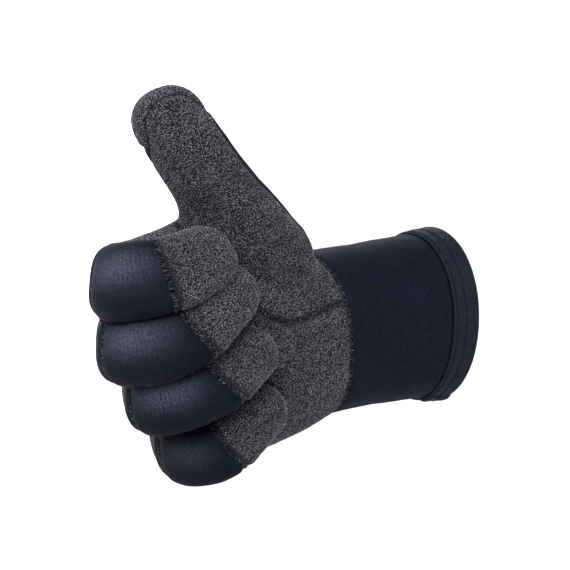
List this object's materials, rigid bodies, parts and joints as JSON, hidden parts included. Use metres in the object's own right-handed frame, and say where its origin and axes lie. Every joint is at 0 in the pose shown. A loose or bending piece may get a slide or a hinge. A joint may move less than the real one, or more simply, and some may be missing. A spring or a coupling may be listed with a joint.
{
  "type": "diving glove",
  "caption": "Thick neoprene glove for the right hand, closed to a fist with the thumb raised, with knitted grip cloth on its palm and fingertips and an open, bound cuff.",
  "frame": {"origin": "middle of the cuff's open mouth, where the wrist goes in", "axes": "+X out of the mouth towards the elbow, +Z towards the thumb's side of the hand, -Y the way the palm faces"},
  "size_m": [0.1938, 0.0969, 0.174],
  "materials": {
    "smooth_neoprene": "dark navy stretch jersey on foam rubber, with fine ribs and a faint blue sheen",
    "grip_cloth": "dark grey textured knit with raised pale yarn flecks, matt",
    "hem_band": "dark navy jersey binding with two rows of stitches, matt"
  },
  "bodies": {
    "root": {"cuff": "smooth_neoprene", "back_panel": "smooth_neoprene", "thumb_back": "smooth_neoprene", "index_back": "smooth_neoprene", "middle_back": "smooth_neoprene", "ring_back": "smooth_neoprene", "little_back": "smooth_neoprene", "cuff_hem": "hem_band", "palm_panel": "grip_cloth", "thumb_front": "grip_cloth", "thumb_tip_cap": "grip_cloth", "index_tip_cap": "grip_cloth", "middle_tip_cap": "grip_cloth", "ring_tip_cap": "grip_cloth", "little_tip_cap": "grip_cloth", "index_front": "grip_cloth", "middle_front": "grip_cloth", "ring_front": "grip_cloth", "little_front": "grip_cloth"}
  },
  "joints": []
}
